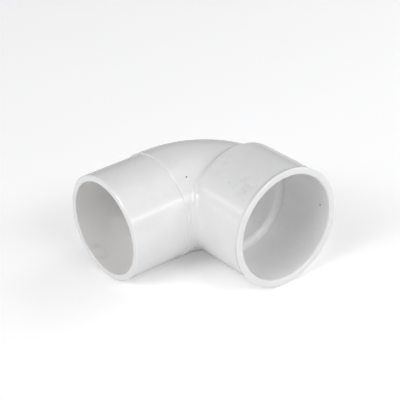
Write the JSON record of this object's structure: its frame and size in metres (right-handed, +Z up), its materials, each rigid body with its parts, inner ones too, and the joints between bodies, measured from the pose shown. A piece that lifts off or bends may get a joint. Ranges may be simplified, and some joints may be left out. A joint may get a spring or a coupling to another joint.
{
  "type": "pipe elbow",
  "caption": "Right-angle street elbow for PVC pressure pipe: a solvent-weld socket on one end and a pipe-sized spigot on the other, with a step behind the spigot.",
  "frame": {"origin": "centre of the pipe stop: the point on the socket's axis that a pipe pushed fully home reaches", "axes": "-Y out of the socket's mouth, -X out along the spigot, +Z up, normal to the plane of the bend"},
  "size_m": [0.1067, 0.0967, 0.0686],
  "materials": {
    "white_pvc": "glossy injection-moulded white PVC"
  },
  "bodies": {
    "root": {"spigot": "white_pvc", "bend": "white_pvc", "pipe_stop": "white_pvc", "socket_hub": "white_pvc"}
  },
  "joints": []
}
